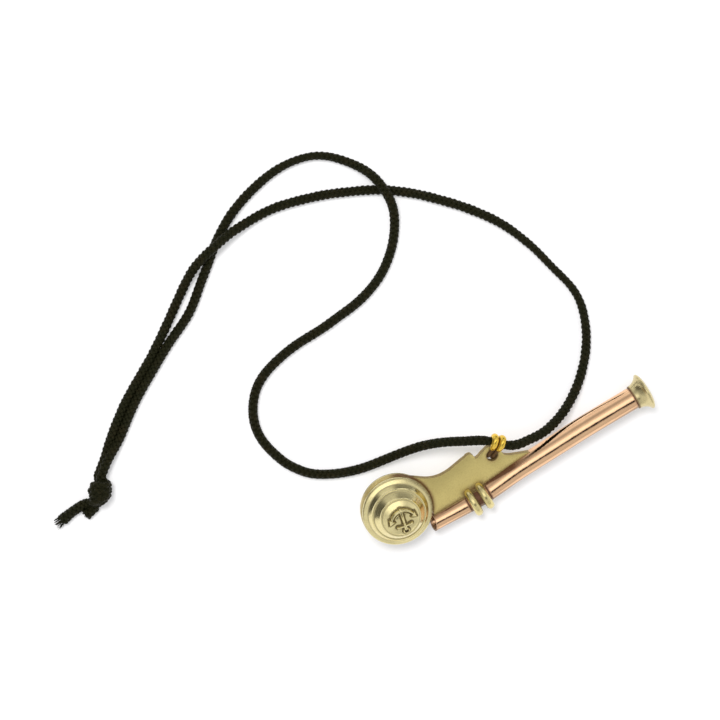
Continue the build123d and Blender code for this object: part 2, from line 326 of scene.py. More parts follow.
def noise_node(nt, vec, scale, detail=4.0, rough=0.6, distortion=0.0):
    n = nt.nodes.new("ShaderNodeTexNoise")
    n.inputs["Scale"].default_value = scale
    n.inputs["Detail"].default_value = detail
    n.inputs["Roughness"].default_value = rough
    n.inputs["Distortion"].default_value = distortion
    if vec is not None:
        nt.links.new(vec, n.inputs["Vector"])
    return n.outputs["Fac"]


def object_coords(nt):
    return nt.nodes.new("ShaderNodeTexCoord").outputs["Object"]


def call_coords(nt):
    """The point in the call's own axes, in millimetres: three sockets x, y, z and their vector."""
    pos = nt.nodes.new("ShaderNodeTexCoord").outputs["Object"]
    sub = nt.nodes.new("ShaderNodeVectorMath")
    sub.operation = "SUBTRACT"
    sub.inputs[1].default_value = tuple(CO)
    nt.links.new(pos, sub.inputs[0])
    outs = []
    for d in (CX, CY, CN):
        dot = nt.nodes.new("ShaderNodeVectorMath")
        dot.operation = "DOT_PRODUCT"
        dot.inputs[1].default_value = tuple(d * 1000.0)
        nt.links.new(sub.outputs[0], dot.inputs[0])
        outs.append(dot.outputs["Value"])
    comb = nt.nodes.new("ShaderNodeCombineXYZ")
    for k in range(3):
        nt.links.new(outs[k], comb.inputs[k])
    return outs[0], outs[1], outs[2], comb.outputs[0]


def scaled(nt, vec, s):
    n = nt.nodes.new("ShaderNodeVectorMath")
    n.operation = "MULTIPLY"
    n.inputs[1].default_value = s
    nt.links.new(vec, n.inputs[0])
    return n.outputs[0]


def metal(name, base, dark, rough, grain=(1, 1, 1), cavity_shade=0.6, tarnish_and_shade_mask=None, tarnish_and_shade_col=(0.16, 0.085, 0.03), bump=0.02, rim=0.0, low=False):
    """Worn metal: mottled colour, grain in one direction, painted shade in crevices from ambient occlusion, and an
    optional mask of tarnish and painted shade.
    """
    m, nt, bs = new_mat(name)
    x, y, z, vec = call_coords(nt)
    big = noise_node(nt, vec, 0.22, 3, 0.6)
    mid = noise_node(nt, vec, 1.6, 5, 0.65)
    line = noise_node(nt, scaled(nt, vec, grain), 5.0, 3, 0.7)
    col = mix(nt, ramp(nt, big, [(0.32, 0.0), (0.68, 1.0)]), base, tuple(0.86 * c + 0.14 * d for c, d in zip(base, dark)))
    col = mix(nt, math_node(nt, "MULTIPLY", ramp(nt, mid, [(0.48, 0.0), (0.75, 1.0)]), 0.30), col, dark)
    col = mix(nt, math_node(nt, "MULTIPLY", ramp(nt, line, [(0.55, 0.0), (0.8, 1.0)]), 0.22), col, dark)
    # painted shade: ambient occlusion darkens crevices and gaps between parts, and joins the tarnish mask
    ao = nt.nodes.new("ShaderNodeAmbientOcclusion")
    ao.samples = 6
    ao.inputs["Distance"].default_value = 0.0016
    cavity_shade_mask = math_node(nt, "SUBTRACT", 1.0, ao.outputs["AO"])
    cavity_shade_mask = math_node(nt, "MULTIPLY", math_node(nt, "SUBTRACT", cavity_shade_mask, 0.18, clamp=True), 1.7 * cavity_shade, clamp=True)
    tarnish_and_shade = math_node(nt, "MULTIPLY", cavity_shade_mask, math_node(nt, "ADD", mid, 0.45), clamp=True)
    if tarnish_and_shade_mask is not None:
        p = tarnish_and_shade_mask(nt, x, y, z, vec, mid)
        tarnish_and_shade = math_node(nt, "MAXIMUM", tarnish_and_shade, p)
    col = mix(nt, tarnish_and_shade, col, tarnish_and_shade_col)
    # painted shade: the colour is darkened at grazing angles
    if rim:
        lw = nt.nodes.new("ShaderNodeLayerWeight")
        lw.inputs["Blend"].default_value = 0.5
        edge = ramp(nt, lw.outputs["Facing"], [(0.25, 0.0), (0.62, 1.0)])
        col = mix(nt, math_node(nt, "MULTIPLY", edge, rim), col, tuple(0.35 * c for c in base))
    if low:
        # painted shade: the side of the tube away from the keel, toward the floor, is darkened
        axis_y = math_node(nt, "ADD", -12.70, math_node(nt, "MULTIPLY", math_node(nt, "SUBTRACT", x, 29.4), 0.0325))
        axis_y = math_node(nt, "MAXIMUM", axis_y, -12.75)
        rad = math_node(nt, "ADD", 3.015, math_node(nt, "MULTIPLY", x, 0.01083))
        d = math_node(nt, "DIVIDE", math_node(nt, "SUBTRACT", axis_y, y), rad)
        d = math_node(nt, "DIVIDE", math_node(nt, "SUBTRACT", d, 0.38), 0.17, clamp=True)
        col = mix(nt, math_node(nt, "MULTIPLY", d, 0.78), col, tuple(0.28 * c for c in base))
    nt.links.new(col, bs.inputs["Base Color"])
    met = math_node(nt, "SUBTRACT", 1.0, math_node(nt, "MULTIPLY", tarnish_and_shade, 0.55))
    nt.links.new(met, bs.inputs["Metallic"])
    r = math_node(nt, "ADD", math_node(nt, "MULTIPLY", mid, 0.16), rough - 0.08)
    r = math_node(nt, "ADD", r, math_node(nt, "MULTIPLY", tarnish_and_shade, 0.3), clamp=True)
    nt.links.new(r, bs.inputs["Roughness"])
    b = nt.nodes.new("ShaderNodeBump")
    b.inputs["Strength"].default_value = 0.35
    b.inputs["Distance"].default_value = bump * MM
    nt.links.new(math_node(nt, "ADD", line, math_node(nt, "MULTIPLY", mid, 1.5)), b.inputs["Height"])
    nt.links.new(b.outputs[0], bs.inputs["Normal"])
    return m


def bell(nt, v, centre, width):
    """exp(-((v - centre) / width)^2)"""
    d = math_node(nt, "DIVIDE", math_node(nt, "SUBTRACT", v, centre), width)
    return math_node(nt, "POWER", 2.71828, math_node(nt, "MULTIPLY", math_node(nt, "MULTIPLY", d, d), -1.0))


def between(nt, v, lo, hi, soft):
    a = math_node(nt, "DIVIDE", math_node(nt, "SUBTRACT", v, lo), soft, clamp=True)
    b = math_node(nt, "DIVIDE", math_node(nt, "SUBTRACT", hi, v), soft, clamp=True)
    return math_node(nt, "MULTIPLY", a, b)


def keel_stain_and_shade(nt, x, y, z, vec, mid):
    """Brown solder and tarnish along the tube's seam; painted shade with some solder by the binding rings and where the
    buoy meets the keel; painted shade with tarnish round the ear hole; darker on the plate's side faces.
    """
    seam_y = math_node(nt, "ADD", -9.2, math_node(nt, "MULTIPLY", math_node(nt, "SUBTRACT", math_node(nt, "MAXIMUM", x, 20.0), 30.0), 0.036))
    d = math_node(nt, "SUBTRACT", y, seam_y)
    wob = math_node(nt, "ADD", 0.45, math_node(nt, "MULTIPLY", mid, 1.3))
    seam = bell(nt, math_node(nt, "DIVIDE", d, wob), 0.0, 1.0)
    far = math_node(nt, "ADD", 0.85, math_node(nt, "MULTIPLY", between(nt, x, 28.0, 70.0, 8.0), 0.35))
    seam = math_node(nt, "MULTIPLY", seam, far)
    # painted shade with some solder on the keel by the binding rings
    rings = math_node(nt, "MULTIPLY", between(nt, x, 21.5, 32.5, 2.0), bell(nt, y, -8.2, 1.5))
    rr = math_node(nt, "SQRT", math_node(nt, "ADD", math_node(nt, "MULTIPLY", x, x), math_node(nt, "MULTIPLY", y, y)))
    # painted shade with some solder where the buoy meets the keel
    buoy = math_node(nt, "MULTIPLY", bell(nt, rr, 12.9, 1.0), between(nt, x, 1.0, 20.0, 5.0))
    dx = math_node(nt, "SUBTRACT", x, 38.97)
    dy = math_node(nt, "ADD", y, 0.84)
    er = math_node(nt, "SQRT", math_node(nt, "ADD", math_node(nt, "MULTIPLY", dx, dx), math_node(nt, "MULTIPLY", dy, dy)))
    # painted shade of the ear hole, with tarnish round it
    ear = math_node(nt, "MULTIPLY", bell(nt, er, 1.9, 0.75), 0.8)
    p = math_node(nt, "MAXIMUM", seam, math_node(nt, "MAXIMUM", math_node(nt, "MULTIPLY", rings, 0.9), math_node(nt, "MAXIMUM", math_node(nt, "MULTIPLY", buoy, 1.05), ear)))
    p = math_node(nt, "MULTIPLY", p, math_node(nt, "ADD", 0.55, math_node(nt, "MULTIPLY", mid, 0.9)), clamp=True)
    # darker on the plate's side faces outside the buoy
    az = math_node(nt, "ABSOLUTE", z)
    edge = math_node(nt, "SUBTRACT", 1.0, math_node(nt, "DIVIDE", math_node(nt, "SUBTRACT", az, 1.10, clamp=True), 0.045, clamp=True))
    outside = math_node(nt, "MULTIPLY", math_node(nt, "SUBTRACT", rr, 12.7, clamp=True), 4.0, clamp=True)
    edge = math_node(nt, "MULTIPLY", math_node(nt, "MULTIPLY", edge, outside), math_node(nt, "ADD", 0.35, math_node(nt, "MULTIPLY", mid, 0.7)))
    return math_node(nt, "MAXIMUM", p, edge, clamp=True)


def tube_stain_and_shade(nt, x, y, z, vec, mid):
    mouth = bell(nt, x, 92.9, 0.35)
    seam_y = math_node(nt, "ADD", -9.4, math_node(nt, "MULTIPLY", math_node(nt, "SUBTRACT", math_node(nt, "MAXIMUM", x, 20.0), 30.0), 0.038))
    seam = math_node(nt, "DIVIDE", math_node(nt, "SUBTRACT", math_node(nt, "SUBTRACT", y, seam_y), -0.50), 0.55, clamp=True)
    seam = math_node(nt, "MULTIPLY", seam, between(nt, x, 6.0, 53.0, 10.0))
    outlet = math_node(nt, "MULTIPLY", bell(nt, x, 7.6, 1.3), 0.7)
    # dark joint lines at the binding rings' edges, and painted shade on the tube between the two rings
    rings = math_node(nt, "MAXIMUM", bell(nt, x, 27.1, 1.6), math_node(nt, "MAXIMUM", bell(nt, x, 22.9, 0.45), bell(nt, x, 31.3, 0.45)))
    p = math_node(nt, "MAXIMUM", math_node(nt, "MAXIMUM", mouth, seam), math_node(nt, "MAXIMUM", outlet, math_node(nt, "MULTIPLY", rings, 1.2)))
    return math_node(nt, "MULTIPLY", p, math_node(nt, "ADD", 0.6, math_node(nt, "MULTIPLY", mid, 0.9)), clamp=True)


def ring_gap_shade(nt, x, y, z, vec, mid):
    # painted shade on the binding rings where they face each other
    p = bell(nt, x, 27.1, 1.1)
    return math_node(nt, "MULTIPLY", p, math_node(nt, "ADD", 0.35, mid), clamp=True)


def mouth_stain_and_bore_shade(nt, x, y, z, vec, mid):
    rr = math_node(nt, "SQRT", math_node(nt, "ADD", math_node(nt, "POWER", math_node(nt, "ADD", y, 10.5), 2.0), math_node(nt, "POWER", z, 2.0)))
    # painted shade inside the bore
    bore = math_node(nt, "MULTIPLY", math_node(nt, "SUBTRACT", 3.3, rr, clamp=True), 1.6, clamp=True)
    return math_node(nt, "MAXIMUM", math_node(nt, "MULTIPLY", bell(nt, x, 93.2, 0.35), 0.8), bore)


def dome_stain_and_shade(nt, x, y, z, vec, mid):
    """Painted shade with some tarnish in the coves of the steps, painted shade on the flank next to the keel, and
    tarnish close round the anchor.
    """
    rr = math_node(nt, "SQRT", math_node(nt, "ADD", math_node(nt, "MULTIPLY", x, x), math_node(nt, "MULTIPLY", y, y)))
    # painted shade with some tarnish in the coves of the steps
    c1 = math_node(nt, "MULTIPLY", bell(nt, rr, 10.92, 0.14), 0.55)
    c2 = math_node(nt, "MAXIMUM", math_node(nt, "MULTIPLY", bell(nt, rr, 9.16, 0.13), 0.55), math_node(nt, "MULTIPLY", bell(nt, rr, 6.74, 0.12), 0.55))
    cap_z = math_node(nt, "SUBTRACT", 10.03, math_node(nt, "MULTIPLY", math_node(nt, "MULTIPLY", rr, rr), 0.0375))
    sunk = math_node(nt, "MULTIPLY", math_node(nt, "SUBTRACT", cap_z, z, clamp=True), 3.4, clamp=True)
    crest = math_node(nt, "MULTIPLY", sunk, math_node(nt, "MULTIPLY", math_node(nt, "SUBTRACT", 6.3, rr, clamp=True), 3.0, clamp=True))
    c2 = math_node(nt, "MAXIMUM", c2, math_node(nt, "MULTIPLY", crest, 0.85))
    rim = math_node(nt, "MULTIPLY", bell(nt, rr, 12.75, 0.22), 0.30)
    # painted shade on the dome's flank next to the keel
    keel_side_shade = math_node(nt, "MULTIPLY", bell(nt, rr, 12.4, 0.75), math_node(nt, "MULTIPLY", between(nt, x, 7.5, 20.0, 3.0), 0.75))
    p = math_node(nt, "MAXIMUM", c1, math_node(nt, "MAXIMUM", c2, math_node(nt, "MAXIMUM", rim, keel_side_shade)))
    return math_node(nt, "MULTIPLY", p, math_node(nt, "ADD", 0.15, math_node(nt, "MULTIPLY", mid, 1.6)), clamp=True)


def gilt_hole_shade(nt, x, y, z, vec, mid):
    """Painted shade: the wire is coloured dark brown where it lies in the ear hole."""
    dx = math_node(nt, "SUBTRACT", x, 38.97)
    dy = math_node(nt, "ADD", y, 0.84)
    er = math_node(nt, "SQRT", math_node(nt, "ADD", math_node(nt, "MULTIPLY", dx, dx), math_node(nt, "MULTIPLY", dy, dy)))
    p = math_node(nt, "DIVIDE", math_node(nt, "SUBTRACT", 2.95, er), 0.4, clamp=True)
    return math_node(nt, "MULTIPLY", p, math_node(nt, "ADD", 0.7, math_node(nt, "MULTIPLY", mid, 0.6)), clamp=True)


BRASS = (0.70, 0.575, 0.27)
BRASS_DARK = (0.36, 0.27, 0.09)
MAT = {
    "keel": metal("keel_brass_worn", (0.86, 0.715, 0.280), (0.50, 0.37, 0.12), 0.36, grain=(0.25, 1.6, 1.6), cavity_shade=0.8, tarnish_and_shade_mask=keel_stain_and_shade, bump=0.03),
    "dome": metal("buoy_brass", (0.84, 0.74, 0.39), BRASS_DARK, 0.17, grain=(1, 1, 1), cavity_shade=0.9, tarnish_and_shade_mask=dome_stain_and_shade, tarnish_and_shade_col=(0.115, 0.080, 0.030), bump=0.02),
    "mouth": metal("mouthpiece_brass", (0.71, 0.61, 0.33), BRASS_DARK, 0.27, cavity_shade=0.7, tarnish_and_shade_mask=mouth_stain_and_bore_shade, bump=0.02),
    "bind": metal("binding_brass", (0.80, 0.69, 0.33), BRASS_DARK, 0.22, cavity_shade=1.5, tarnish_and_shade_mask=ring_gap_shade, bump=0.02),
    "gilt": metal("split_ring_gilt", (0.93, 0.64, 0.10), (0.45, 0.22, 0.02), 0.16, cavity_shade=0.8, tarnish_and_shade_mask=gilt_hole_shade, tarnish_and_shade_col=(0.13, 0.07, 0.03), bump=0.01),
    "copper": metal("gun_copper", (0.93, 0.60, 0.355), (0.66, 0.34, 0.18), 0.13, grain=(0.12, 2.2, 2.2), cavity_shade=0.5, tarnish_and_shade_mask=tube_stain_and_shade, tarnish_and_shade_col=(0.13, 0.055, 0.025), bump=0.004, low=True),
    "solder": metal("solder_seam", (0.40, 0.28, 0.12), (0.12, 0.06, 0.02), 0.45, cavity_shade=0.6, tarnish_and_shade_col=(0.09, 0.045, 0.02), bump=0.05),
}


def cord_material():
    m, nt, bs = new_mat("braided_cord_black")
    uv = nt.nodes.new("ShaderNodeTexCoord").outputs["UV"]
    obj = object_coords(nt)
    fib = noise_node(nt, scaled(nt, uv, (26.0, 2.2, 1.0)), 1.0, 4, 0.7)
    blot = noise_node(nt, obj, 420.0, 3, 0.6)
    wide = noise_node(nt, obj, 40.0, 2, 0.5)
    col = mix(nt, ramp(nt, fib, [(0.38, 0.0), (0.66, 1.0)]), (0.0010, 0.0010, 0.0005), (0.014, 0.0135, 0.0050))
    col = mix(nt, math_node(nt, "MULTIPLY", ramp(nt, blot, [(0.5, 0.0), (0.75, 1.0)]), 0.55), col, (0.020, 0.014, 0.006))
    col = mix(nt, math_node(nt, "MULTIPLY", ramp(nt, wide, [(0.4, 0.0), (0.7, 1.0)]), 0.35), col, (0.006, 0.009, 0.004))
    nt.links.new(col, bs.inputs["Base Color"])
    bs.inputs["Roughness"].default_value = 0.5
    bs.inputs["Specular IOR Level"].default_value = 0.17
    bs.inputs["Specular Tint"].default_value = (1.0, 0.96, 0.55, 1)
    b = nt.nodes.new("ShaderNodeBump")
    b.inputs["Strength"].default_value = 0.7
    b.inputs["Distance"].default_value = 0.00008
    nt.links.new(fib, b.inputs["Height"])
    nt.links.new(b.outputs[0], bs.inputs["Normal"])
    return m


MAT["cord"] = cord_material()
core_m, core_nt, core_bs = new_mat("cord_core_shadow")
core_bs.inputs["Roughness"].default_value = 0.9
core_nt.links.new(mix(core_nt, noise_node(core_nt, object_coords(core_nt), 900.0), (0.002, 0.002, 0.0015), (0.010, 0.009, 0.006)), core_bs.inputs["Base Color"])
MAT["core"] = core_m


def paint(ob, mat):
    ob.data.materials.clear()
    ob.data.materials.append(MAT[mat])


def paint_cad(node, mat):
    """A carried-over CAD piece keeps its mesh and gets a procedural material."""
    ob = NODES[node]
    while len(ob.material_slots) < 1:
        ob.data.materials.append(None)
    for s in ob.material_slots:
        s.link = "OBJECT"
        s.material = MAT[mat]


# ------------------------------------------------------------ the buoy's two domes
OUTER = [(12.62, 1.15), (12.74, 1.45), (12.76, 2.00), (12.72, 2.45), (12.58, 2.80), (12.34, 3.02), (12.06, 3.14), (11.05, 3.50), (10.94, 3.56), (10.86, 3.66),
         (10.60, 4.00), (9.98, 4.80), (9.86, 4.98), (9.80, 5.12), (9.74, 5.40), (9.64, 5.60), (9.50, 5.70), (9.34, 5.70), (9.20, 5.66), (9.12, 5.72),
         (8.90, 6.00), (7.50, 7.66), (7.38, 7.82), (7.32, 7.96), (7.26, 8.16), (7.16, 8.32), (7.02, 8.40), (6.88, 8.38), (6.76, 8.30), (6.66, 8.34)]
CAP = [(r, 10.08 - 0.0375 * r * r) for r in np.linspace(6.55, 0.0, 86)]
INNER = [(0.0, 9.35), (1.5, 9.25), (2.9, 9.00), (4.3, 8.60), (5.5, 8.15), (6.2, 7.75), (6.8, 7.20), (7.4, 6.50), (8.3, 5.50), (9.0, 4.80), (9.6, 4.05),
         (10.3, 3.25), (10.9, 2.75), (11.6, 2.50), (11.9, 2.10), (12.0, 1.15)]


def seg_d(x, y, ax, ay, bx, by):
    ux, uy = bx - ax, by - ay
    t = np.clip(((x - ax) * ux + (y - ay) * uy) / (ux * ux + uy * uy), 0, 1)
    return np.hypot(x - ax - t * ux, y - ay - t * uy)


def tri_d(x, y, P):
    d = np.min([seg_d(x, y, *P[i], *P[(i + 1) % 3]) for i in range(3)], axis=0)
    s = [(P[(i + 1) % 3][0] - P[i][0]) * (y - P[i][1]) - (P[(i + 1) % 3][1] - P[i][1]) * (x - P[i][0]) for i in range(3)]
    inside = np.all(np.array(s) > 0, axis=0) | np.all(np.array(s) < 0, axis=0)
    return np.where(inside, -d, d)


def anchor_relief(p):
    """Height of the plain anchor above the cap, in mm, rounded like a struck crest."""
    px, py = p[:, 0] - 0.35, p[:, 1] + 0.35
    x = (px * -0.979 + py * 0.205) / 1.06
    y = (px * -0.205 + py * -0.979) / 1.06
    shank = seg_d(x, y, 0, -3.5, 0, 3.4) - (0.44 + 0.05 * np.abs(y))
    stock = seg_d(x, y, -2.3, 2.15, 2.3, 2.15) - 0.40
    balls = np.minimum(np.hypot(x - 2.35, y - 2.15), np.hypot(x + 2.35, y - 2.15)) - 0.58
    ring = np.abs(np.hypot(x, y - 4.2) - 0.85) - 0.30
    d = np.hypot(x, y - 0.85)
    arms = np.where(y < 0.1, np.abs(d - 4.15) - (0.30 + 0.24 * np.clip(-y / 3.3, 0, 1)), np.hypot(np.abs(x) - 4.05, y - 0.1) - 0.3)
    fluke = np.minimum(tri_d(x, y, [(4.9, 0.9), (2.75, -0.2), (4.45, -1.6)]), tri_d(x, y, [(-4.9, 0.9), (-2.75, -0.2), (-4.45, -1.6)]))
    crown = np.hypot(x, y + 3.55) - 0.62
    sdf = np.min([shank, stock, balls, ring, arms, fluke, crown], axis=0)
    t = np.clip(-sdf / 0.42, 0, 1)
    h = np.sqrt(np.clip(1 - (1 - t) ** 2, 0, 1)) * 1.0
    moat = -0.42 * np.exp(-((np.clip(sdf, 0, None) - 0.16) / 0.26) ** 2) * (sdf > 0)
    r = np.hypot(p[:, 0], p[:, 1])
    fade = np.clip((6.35 - r) / 0.4, 0, 1)
    return (h + moat) * fade * (p[:, 2] > 8.2) * (p[:, 2] > 9.75 - 0.0375 * r * r)


def window_cut(ob, side):
    """Half of the sounding window, cut through the rim on the tube's side."""
    c = [(-3.5, -15.0), (7.5, -15.0), (7.5, -10.7), (-3.5, -10.7)]
    z0, z1 = (0.9, 2.6) if side > 0 else (-2.6, -0.9)
    P = [(x, y, z) for z in (z0, z1) for x, y in c]
    F = np.array([[3, 2, 1, 0], [4, 5, 6, 7], [0, 1, 5, 4], [1, 2, 6, 5], [2, 3, 7, 6], [3, 0, 4, 7]])
    cut = make("cutter", at_many(P), [F], smooth=False)
    md = ob.modifiers.new("window", "BOOLEAN")
    md.object, md.operation, md.solver = cut, "DIFFERENCE", "EXACT"
    bpy.context.view_layer.update()
    dg = bpy.context.evaluated_depsgraph_get()
    me = bpy.data.meshes.new_from_object(ob.evaluated_get(dg))
    ob.modifiers.clear()
    old = ob.data
    ob.data = me
    bpy.data.meshes.remove(old)
    bpy.data.objects.remove(cut)


def spun(p):
    """Faint turning lines and slight wear of the spun brass."""
    r = np.hypot(p[:, 0], p[:, 1])
    return 0.012 * np.sin(r * 9.0) + 0.01 * np.sin(r * 23.0 + 1.0)


def smooth_by_angle(ob, deg):
    me = ob.data
    me.polygons.foreach_set("use_smooth", np.ones(len(me.polygons), bool))
    bm = bmesh.new()
    bm.from_mesh(me)
    lim = math.radians(deg)
    for e in bm.edges:
        e.smooth = not (len(e.link_faces) == 2 and e.calc_face_angle(0) > lim)
    bm.to_mesh(me)
    bm.free()


front = lathe("buoy_dome_front_visual", OUTER + CAP + INNER, CO, CN, CX, 300, bump=lambda p: anchor_relief(p) + 0.4 * spun(p) * (p[:, 2] > 1.3) * (p[:, 2] < 8.2))
back = lathe("buoy_dome_back_visual", [(r, z) for r, z in OUTER + CAP[::3] + [CAP[-1]] + INNER], CO, -CN, CX, 220, bump=lambda p: 0.4 * spun(p) * (p[:, 2] > 1.3))
window_cut(front, 1)
window_cut(back, -1)
for ob, node in ((front, "buoy_dome_front"), (back, "buoy_dome_back")):
    smooth_by_angle(ob, 38)
    paint(ob, "dome")
    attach(ob, "call")
    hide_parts(node)

# ------------------------------------------------------------ keel with rounded edges
bm = bmesh.new()
bm.from_mesh(NODES["keel_plate"].data)
bmesh.ops.remove_doubles(bm, verts=bm.verts, dist=2e-6)
bmesh.ops.dissolve_limit(bm, angle_limit=math.radians(1.2), verts=bm.verts, edges=bm.edges)
sharp = [e for e in bm.edges if len(e.link_faces) == 2 and e.calc_face_angle(0) > math.radians(40)]
bmesh.ops.bevel(bm, geom=sharp, offset=0.00022, offset_type="OFFSET", segments=3, profile=0.5, affect="EDGES", clamp_overlap=True)
bmesh.ops.triangulate(bm, faces=[f for f in bm.faces if len(f.verts) > 4])
me = bpy.data.meshes.new("keel_visual")
bm.to_mesh(me)
bm.free()
keel = bpy.data.objects.new("keel_visual", me)
bpy.context.scene.collection.objects.link(keel)
smooth_by_angle(keel, 30)
paint(keel, "keel")
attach(keel, "call")
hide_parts("keel_plate")

# ------------------------------------------------------------ pieces carried over from the CAD
for node, mat in (("gun_tube", "copper"), ("mouthpiece", "mouth")):
    paint_cad(node, mat)

# ------------------------------------------------------------ binding rings: thick wire, a little wider than high, with hammered faces
for node in ("binding_ring_a", "binding_ring_b"):
    co, no, ar = mesh_arrays(NODES[node])
    cen = (co.min(0) + co.max(0)) / 2
    cov = np.cov((co - cen).T)
    w_, v_ = np.linalg.eigh(cov)
    ax = unit(v_[:, 0])
    ax = ax * (1 if ax @ CX > 0 else -1)
    rr_ = np.linalg.norm((co - cen) - ((co - cen) @ ax)[:, None] * ax, axis=1)
    half = np.abs((co - cen) @ ax).max()
    major = (rr_.max() + rr_.min()) / 2
    minor = (rr_.max() - rr_.min()) / 2
    t = np.linspace(0, 2 * math.pi, 28, endpoint=False)
    prof = [((major + minor * math.cos(a)) * 1000.0, half * 1.12 * math.sin(a) * 1000.0) for a in t]
    seed_ = 3.0 if node.endswith("a") else 9.0

    def dents(p, seed_=seed_):
        return np.array([0.07 * noise.noise(Vector((float(q[0]) * 0.45, float(q[1]) * 0.45, seed_))) for q in p])

    ob = lathe(node + "_visual", prof, cen, ax, CN, 160, bump=dents)
    paint(ob, "bind")
    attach(ob, "call")
    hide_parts(node)


# ------------------------------------------------------------ solder along the seam of tube and keel
def gun_axis(x):
    return np.interp(x, [6.0, 15.0, 24.8, 29.4, 50.0, 95.6], [-12.0, -12.5, -12.78, -12.70, -12.2, -10.55])


def gun_r(x):
    return 3.08 + (4.05 - 3.08) * (V3(x) - 6.0) / 89.6


for side, tag in ((1, "front"), (-1, "back")):
    xs = np.linspace(9.5, 62.0, 260)
    r = gun_r(xs)
    wob = np.array([noise.noise(Vector((float(v) * 0.45, 3.0 * side, 0.0))) for v in xs])
    rad = 0.34 + 0.16 * wob
    y = gun_axis(xs) + np.sqrt(r**2 - (1.15 + 0.1) ** 2) + 0.05
    z = np.full(len(xs), 1.12) * side
    rad = rad * np.clip((xs - 9.5) / 2, 0.15, 1) * np.clip((62.0 - xs) / 6, 0.15, 1)
    s = tube("solder_seam_" + tag, at_many(np.stack([xs, y, z], 1)), rad * MM, sides=10, up=CN)
    paint(s, "solder")
    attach(s, "call")

# ------------------------------------------------------------ split ring: a wire wound twice
PIV = V3(JOINTS["ring_swing"]["pos_m"])
BIGHT = V3(JOINTS["cord_lift"]["pos_m"])
AXV = unit(JOINTS["ring_swing"]["axis"])
RH = unit(np.cross([0, 0, 1], AXV))                # level direction in the ring's plane, away from the hole
RU = np.cross(AXV, RH)
RU = RU * (1 if RU[2] > 0 else -1)
bo = np.array([(BIGHT - PIV) @ RH, (BIGHT - PIV) @ RU]) * 1000.0
f_ = bo / np.array([1.73, 2.63])
# the loop in its own plane, level and upward, in mm: round the cord, over the strip of plate, down the hole and back underneath
LOOP = [(-0.9, -3.3), (1.2, -2.2), (2.7, -0.3), (3.5, 1.6), (3.6 * f_[0], 3.2 * f_[1]), (2.8 * f_[0], 4.3 * f_[1]), (0.9, 3.9), (-0.8, 2.15), (-1.95, 0.3), (-3.45, -1.4), (-3.2, -3.0)]
loop3 = np.array([[a, c, 0.0] for a, c in LOOP])
one = catmull(np.vstack([loop3, loop3, loop3[:1]]), 0.16)
one = smooth_path(one, 10)
n1 = len(one)
one = one[4:n1 - 4]
u = np.clip((np.linspace(0, 1, len(one)) - 0.44) / 0.12, 0, 1)
step = (u * u * (3 - 2 * u)) * 1.80 - 0.90
top = np.clip(((one[:, 0] - 0.2) * 0.55 + (one[:, 1] - 1.2) * 0.83) / 3.2, 0, 1) ** 0.7
P = PIV + (one[:, :1] * RH + one[:, 1:2] * RU + (step * (1 + 0.55 * top))[:, None] * AXV) * MM
ringob = tube("split_ring_wire", P, (0.78 + 0.50 * top) * MM, sides=24, up=AXV)
paint(ringob, "gilt")
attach(ringob, "ring")
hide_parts("split_ring")

